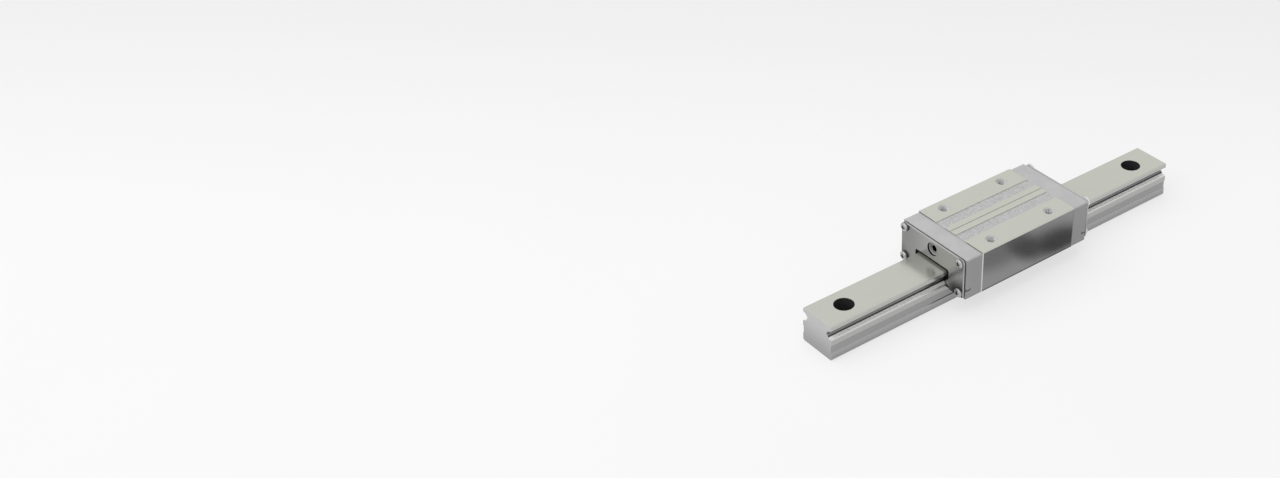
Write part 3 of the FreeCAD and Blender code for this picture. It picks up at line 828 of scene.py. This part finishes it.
@dataclass(frozen=True)
class PanScrew:
    """Pan-head screw with a cross recess, standing on its head's underside.

    Attributes:
        head: Radius of the head.
        rim: Height of the head's straight side.
        crown: Height of the head.
        round_in: How far the rounded edge reaches inwards.
        round_up: How far it reaches upwards.
        arm: Half length of the recess at the top.
        slot: Half width of the recess.
        depth: Depth of the recess.
        shank: Radius of the shank.
        length: Length of the shank.
        pitch: Pitch of the thread.
        thread_depth: Depth of the thread.
        finish: Finish of the steel.
    """

    head: float = 2.25 * MM
    rim: float = 0.75 * MM
    crown: float = 1.7 * MM
    round_in: float = 0.2 * MM
    round_up: float = 0.4 * MM
    arm: float = 1.3 * MM
    slot: float = 0.36 * MM
    depth: float = 0.95 * MM
    shank: float = 1.2 * MM
    length: float = 15.0 * MM
    pitch: float = 0.45 * MM
    thread_depth: float = 0.22 * MM
    # The head's side below the rim and its cross recess are painted dark as shade.
    finish: TurnedSteel = TurnedSteel("screw_bright_steel", level=184.0, hollow=24.0, reach=1.5,
                                      depth=1.52, rim=0.74, roughness=0.22)

    def turns(self) -> list[float]:
        """Angles that meet every corner of the recess, with even steps between them."""
        tip = math.atan2(self.slot, self.arm)
        quarter = [-tip, 0.0, tip] + [tip + (math.pi / 4 - tip) * step / 4 for step in range(1, 5)]
        quarter += [math.pi / 2 - angle for angle in reversed(quarter[3:-1])]
        return [angle + math.pi / 2 * side for side in range(4) for angle in quarter]

    def cross(self, turn: float, arm: float, slot: float) -> float:
        """Distance from the axis to the recess's outline in one direction."""
        folded = abs((turn + math.pi / 4) % (math.pi / 2) - math.pi / 4)
        if folded <= math.atan2(slot, arm) + 1e-6:
            return arm / math.cos(folded)
        return slot / math.sin(folded)

    def dome(self, radius: float) -> float:
        """Height of the head's dome at one distance from the axis."""
        share = min(radius / (self.head - self.round_in), 1.0)
        low = self.rim + self.round_up
        return low + (self.crown - low) * (1 - share ** 2.2)

    def skin(self) -> Skin:
        """Weaves the head, its recess and the threaded shank."""
        turns = self.turns()
        around = len(turns)
        rows = [ring([self.shank * 0.98] * around, -0.1 * MM, turns), ring([self.shank] * around, 0.0, turns),
                ring([self.head] * around, 0.0, turns)]
        for inwards, upwards in ((0.0, 0.0), (0.35, 0.6), (1.0, 1.0)):
            radius = self.head - self.round_in * inwards
            rows.append(ring([radius] * around, self.rim + self.round_up * upwards, turns))
        outline = [self.cross(turn, self.arm, self.slot) for turn in turns]
        for share in (0.15, 0.35, 0.6, 0.85, 1.0):
            radii = [(self.head - self.round_in) * (1 - share) + edge * share for edge in outline]
            rows.append([(r * math.cos(t), r * math.sin(t), self.dome(r)) for r, t in zip(radii, turns)])
        for share, drop in ((0.93, 0.08), (0.82, 0.5), (0.72, 1.0)):
            arm = self.arm * share * (1 - 0.35 * drop)
            radii = [self.cross(turn, arm, self.slot * share) for turn in turns]
            rows.append(ring(radii, self.crown - 0.06 * MM - self.depth * drop, turns))
        skin = Skin()
        skin.weave(rows)
        thread = Thread(self.shank, self.shank - self.thread_depth, self.pitch, steps=24, rows=6)
        thread.weave_into(skin, -self.length, 0.0)
        return skin


@dataclass(frozen=True)
class SocketPlug:
    """Set screw with a hexagon socket, closing the grease port.

    Attributes:
        radius: Radius of the plug.
        bevel: Leg of the bevel round its face.
        socket: Half of the size across the flats.
        socket_bevel: Depth of the bevel round the socket.
        socket_depth: Depth of the socket.
        drill_depth: Depth of the drill's cone under the socket.
        length: Length of the plug.
        steps: Points in one turn.
        finish: Finish of the steel.
    """

    radius: float = 2.42 * MM
    bevel: float = 0.2 * MM
    socket: float = 1.45 * MM
    socket_bevel: float = 0.12 * MM
    socket_depth: float = 1.8 * MM
    drill_depth: float = 0.5 * MM
    length: float = 4.0 * MM
    steps: int = 72
    # The near-black of the socket is painted shade.
    finish: TurnedSteel = TurnedSteel("plug_steel", level=158.0, hollow=12.0, reach=1.72, depth=-0.02,
                                      roughness=0.34)

    def skin(self) -> Skin:
        """Weaves the plug, with its face at height 0."""
        turns = [2 * math.pi * step / self.steps for step in range(self.steps)]
        flats = [self.socket / math.cos((turn + math.pi / 6) % (math.pi / 3) - math.pi / 6) for turn in turns]
        outside = ((self.radius, -self.length), (self.radius, -self.bevel), (self.radius - self.bevel, 0.0))
        rows = [ring([radius] * self.steps, height, turns) for radius, height in outside]
        for share, height in ((1.06, 0.0), (1.0, -self.socket_bevel), (1.0, -self.socket_depth),
                              (0.1, -self.socket_depth - self.drill_depth)):
            rows.append(ring([flat * share for flat in flats], height, turns))
        skin = Skin()
        skin.weave(rows)
        return skin


@dataclass
class Rail:
    """Profiled rail, carried over from the frame.

    Attributes:
        finish: Finish of the steel.
    """

    finish: RailSteel = RailSteel()

    def dress(self) -> None:
        """Gives the rail its finish."""
        coat("rail", self.finish.material())


@dataclass
class CarriageBlock:
    """Steel block with four threaded holes.

    Attributes:
        hole_x: Half of the hole spacing along the rail.
        hole_y: Half of the hole spacing across the rail.
        thread_depth: Depth of the threaded part.
        thread_sink: Depth of the thread's mouth below the block's top.
        thread: Thread of the holes.
        finish: Finish of the steel.
        thread_finish: Finish inside the holes, with painted light on the thread and painted shade deep down.
    """

    hole_x: float = 18.0 * MM
    hole_y: float = 16.0 * MM
    thread_depth: float = 7.6 * MM
    thread_sink: float = 0.02 * MM
    thread: Thread = Thread(2.05 * MM, 2.48 * MM, 0.8 * MM, 0.33 * MM)
    finish: BlockSteel = BlockSteel()
    # Painted light on the thread below its top, and painted shade deep in the hole.
    thread_finish: TurnedSteel = TurnedSteel("tapped_steel", level=186.0, hollow=140.0, reach=2.6, depth=-6.0,
                                             rim=-0.4, wall=230.0, roughness=0.6, metallic=0.0)

    def build(self) -> None:
        """Cuts the thread of each tapped hole."""
        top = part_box("carriage_block")[1][2] - self.thread_sink
        finish = self.thread_finish.material()
        for end in End:
            for side in Side:
                skin = Skin()
                self.thread.weave_into(skin, -self.thread_depth, 0.0)
                place = Matrix.Translation((end.value * self.hole_x, side.value * self.hole_y, top))
                piece = skin.piece(f"tapped_thread_{side.label}_{end.label}", place, finish)

    def dress(self) -> None:
        """Gives the block its finish."""
        coat("carriage_block", self.finish.material())


@dataclass
class EndUnit:
    """End cap, rubber, seal plate, screws and port plug of one end.

    Attributes:
        end: Which end.
        cap: Finish of the cap.
        rubber: Finish of the rubber.
        plate: Finish of the plate.
        screw: The screw.
        plug: The plug of the port.
        screw_y: Distance of the screws from the middle.
        screw_z: Heights of the lower and the upper screws.
        port_z: Height of the port.
        plug_sink: Depth of the plug's face below the plate's inner face.
    """

    end: End
    cap: Material
    rubber: Material
    plate: Material
    screw: PanScrew = PanScrew()
    plug: SocketPlug = SocketPlug()
    screw_y: float = 18.65 * MM
    screw_z: Pair = (11.5 * MM, 27.4 * MM)
    port_z: float = 24.8 * MM
    plug_sink: float = 0.4 * MM

    def build(self, screw_finish: Material, plug_finish: Material) -> None:
        """Builds the screws and the plug.

        Args:
            screw_finish: Finish of the screws.
            plug_finish: Finish of the plug.
        """
        low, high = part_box(f"seal_plate_{self.end.label}")
        face, back = (low[0], high[0]) if self.end is End.FRONT else (high[0], low[0])
        for side in Side:
            for level, z in zip(("low", "high"), self.screw_z):
                place = outward(self.end, face, side.value * self.screw_y, z)
                name = f"seal_screw_{self.end.label}_{side.label}_{level}"
                piece = self.screw.skin().piece(name, place, screw_finish)
                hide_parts("seal_screws")
        place = outward(self.end, back - self.end.value * self.plug_sink, 0.0, self.port_z)
        piece = self.plug.skin().piece(f"port_plug_{self.end.label}", place, plug_finish)
        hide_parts(f"grease_plug_{self.end.label}")

    def dress(self) -> None:
        """Gives the carried-over pieces of the end their finishes."""
        coat(f"end_cap_{self.end.label}", self.cap)
        coat(f"end_seal_{self.end.label}", self.rubber)
        coat(f"seal_plate_{self.end.label}", self.plate)


@dataclass
class BallCircuit:
    """Balls, return guides, retaining band and under seal of one side.

    Attributes:
        side: Which side.
    """

    side: Side

    def dress(self, ball: Material, band: Material, rubber: Material, guide: Material) -> None:
        """Gives the carried-over pieces of the side their finishes.

        Args:
            ball: Finish of the balls.
            band: Finish of the retaining band.
            rubber: Finish of the under seal.
            guide: Finish of the return guides.
        """
        coat(f"ball_circuit_{self.side.label}", ball)
        coat(f"retaining_band_{self.side.label}", band)
        coat(f"under_seal_{self.side.label}", rubber)
        for end in End:
            coat(f"return_guide_{self.side.label}_{end.label}", guide)


@dataclass(frozen=True)
class Softbox:
    """Square lamp with soft light.

    Attributes:
        name: Name of the lamp.
        place: Where it hangs, in metres.
        aim: The point that it faces.
        size: Its side in metres.
        power: Its power in watts.
        mirrored: Whether metal shows its glint.
    """

    name: str
    place: Point
    aim: Point
    size: float
    power: float
    mirrored: bool

    def build(self) -> None:
        """Hangs the lamp."""
        light = bpy.data.lights.new(self.name, "AREA")
        light.shape = "SQUARE"
        light.size = self.size
        light.energy = self.power
        lamp = added(self.name, light)
        lamp.location = self.place
        lamp.visible_glossy = self.mirrored
        lamp.rotation_euler = (Vector(self.aim) - Vector(self.place)).to_track_quat("-Z", "Y").to_euler()


@dataclass(frozen=True)
class PhotoCamera:
    """Camera at the photograph's place and angle.

    Attributes:
        place: Where it stands, in metres.
        yaw: Direction that it looks in, in degrees from the rail.
        pitch: How far it looks down, in degrees.
        focal: Focal length in millimetres.
        shift: Sideways shift of the lens, in picture widths.
        near: Nearest distance that is seen.
    """

    place: Point = (-0.4797, -0.48504, 0.48181)
    yaw: float = 50.93
    pitch: float = 34.60
    focal: float = 49.96
    shift: float = -0.16497
    near: float = 0.01

    def build(self) -> None:
        """Adds the camera and makes it the scene's own."""
        lens = bpy.data.cameras.new("photo_camera")
        lens.sensor_fit = "HORIZONTAL"
        lens.lens = self.focal
        lens.shift_x = self.shift
        lens.clip_start = self.near
        camera = added("photo_camera", lens)
        camera.location = self.place
        camera.rotation_euler = (math.radians(90 - self.pitch), 0.0, math.radians(self.yaw - 90))
        bpy.context.scene.camera = camera


@dataclass(frozen=True)
class Studio:
    """Pale floor, soft light and the photograph's camera.

    Attributes:
        floor_size: Side of the floor in metres.
        floor_drop: How far the floor lies below the rail's base.
        floor: Screen grey of the floor as it is seen.
        far: Screen grey of the floor far behind the object.
        far_way: Direction over the floor in which it turns to that grey.
        far_from: Where it starts to turn and has turned in that direction.
        bounce: Screen grey of the floor as it lights the object.
        glow: Share of the seen floor that shines by itself, which softens the shadow.
        glow_from: Distances from the middle where the share rises and is 1.
        backdrop: Screen grey of the backdrop as it is seen.
        ambient: Strength of the even light from all round.
        flag: Screen greys of the dark flag.
        flag_place: Its middle.
        flag_size: Its sizes along and across the rail, in metres.
        flag_spots: Middle, half sizes and darkness of each dark spot, in shares of the flag.
        softboxes: The lamps.
        camera: The camera.
    """

    floor_size: float = 9.0
    floor_drop: float = 0.2 * MM
    floor: float = 247.0
    far: float = 236.0
    far_way: Pair = (0.63, 0.776)
    far_from: Pair = (0.0, 0.35)
    bounce: float = 150.0
    glow: float = 0.72
    glow_from: Pair = (0.7, 2.5)
    backdrop: float = 244.0
    ambient: float = 0.55
    flag: Pair = (8.0, 16.0)
    flag_place: Point = (0.02, -0.046, 0.0006)
    flag_size: Pair = (0.11, 0.03)
    flag_spots: tuple[tuple[Pair, Pair, float], ...] = (
        ((0.15, 0.28), (0.25, 0.5), 1.0), ((0.0, 0.05), (0.15, 0.6), 0.95), ((-0.15, -0.1), (0.3, 0.5), 0.6))
    softboxes: tuple[Softbox, ...] = (
        Softbox("softbox_top", (-0.35, 0.3, 1.5), (0.0, 0.0, 0.0), 2.4, 20.0, mirrored=False),
        Softbox("softbox_left", (-1.3, 0.2, 0.7), (0.0, 0.0, 0.02), 1.3, 3.8, mirrored=True))
    camera: PhotoCamera = PhotoCamera()

    def build(self) -> None:
        """Adds the floor, flag, world, lamps and camera."""
        bpy.context.scene.view_settings.view_transform = "Standard"
        self.add_floor()
        self.add_flag()
        self.add_world()
        for softbox in self.softboxes:
            softbox.build()
        self.camera.build()

    def sheet(self, name: str, half: float, cells: int, material: Material) -> bpy.types.Object:
        """Lays a square sheet at the origin.

        Args:
            name: Name of the sheet.
            half: Half of its side.
            cells: Faces along its side.
            material: Its material.

        Returns:
            The new object.
        """
        mesh = bpy.data.meshes.new(name)
        shape = bmesh.new()
        bmesh.ops.create_grid(shape, x_segments=cells, y_segments=cells, size=half)
        shape.to_mesh(mesh)
        shape.free()
        mesh.materials.append(material)
        made = added(name, mesh)
        return made

    def add_floor(self) -> None:
        """Adds the floor, which is paler where it is seen than where it lights the object."""
        graph = Graph("floor_paper")
        near = graph.between(graph.noise(Grain.PAPER), (self.floor - 2, self.floor))
        away = graph.math("ADD", graph.both(graph.axis(ALONG), self.far_way[0]),
                          graph.both(graph.axis(ACROSS), self.far_way[1]))
        paper = graph.mix(graph.step(away, *self.far_from), near, grey(self.far))
        seen = graph.seen()
        base = graph.mix(seen, grey(self.bounce), paper)
        graph.tune(Base_Color=base, Roughness=0.9, Specular_IOR_Level=0.0)
        reach = graph.length(graph.axis(ALONG), graph.axis(ACROSS))
        share = graph.spread(graph.step(reach, *self.glow_from), self.glow, 1.0)
        glow = graph.node("Emission", Color=paper)
        graph.layers(graph.both(seen, share), graph.shader, glow)
        floor = self.sheet("floor", self.floor_size / 2, 8, graph.owner)
        floor.location.z = -self.floor_drop

    def add_flag(self) -> None:
        """Lays a soft dark flag beside the carriage, which only its polished side mirrors, as a painted dark
        reflection.
        """
        graph = Graph("flag_cloth")
        cloth = graph.between(graph.noise(Grain.CLOTH, 2.0), self.flag)
        graph.tune(Base_Color=cloth, Roughness=1.0)
        dark = 0.0
        # The dark spots shape the painted reflection; the rest of the flag is see-through.
        for middle, size, depth in self.flag_spots:
            legs = [graph.math("DIVIDE", graph.math("SUBTRACT", graph.axis(way), middle[way]), size[way])
                    for way in (ALONG, ACROSS)]
            dark = graph.either(dark, graph.both(graph.step(graph.length(*legs), 1.0, 0.3), depth))
        graph.layers(dark, graph.node("BsdfTransparent"), graph.shader)
        flag = self.sheet("dark_flag", 0.5, 4, graph.owner)
        flag.scale = (*self.flag_size, 1.0)
        flag.location = self.flag_place
        flag.visible_camera = flag.visible_diffuse = flag.visible_shadow = flag.visible_transmission = False

    def add_world(self) -> None:
        """Adds even light from all round, with a pale backdrop where it is seen."""
        graph = Graph("studio", world=True)
        graph.tune(Color=(1.0, 1.0, 1.0), Strength=self.ambient)
        pale = graph.node("Background", Color=grey(self.backdrop))
        graph.layers(graph.seen(), graph.shader, pale)
        bpy.context.scene.world = graph.owner


def main() -> None:
    """Builds and dresses every sub-assembly, then the studio."""
    logging.basicConfig(level=logging.INFO, format="%(name)s: %(message)s")
    cap = MouldedResin("cap_resin").material()
    guide = MouldedResin("guide_resin", level=206.0, flank=206.0, warmth=6.0).material()
    rubber = SealRubber().material()
    plate = PlateSteel().material()
    ball = TurnedSteel("ball_polished_steel", level=222.0, roughness=0.12, metallic=1.0).material()
    band = TurnedSteel("band_spring_steel", level=190.0, roughness=0.3).material()
    Rail().dress()
    block = CarriageBlock()
    block.build()
    block.dress()
    bright = PanScrew().finish
    # The rear screws get a paler copy of the steel, painted light that washes them out.
    pale = replace(bright, name="screw_pale_steel", level=206.0, wall=232.0)
    screw_finishes = {End.FRONT: bright.material(), End.REAR: pale.material()}
    plug_finish = SocketPlug().finish.material()
    for end in End:
        unit = EndUnit(end, cap, rubber, plate)
        unit.build(screw_finishes[end], plug_finish)
        unit.dress()
    for side in Side:
        BallCircuit(side).dress(ball, band, rubber, guide)
    Studio().build()


if __name__ == "__main__":
    main()
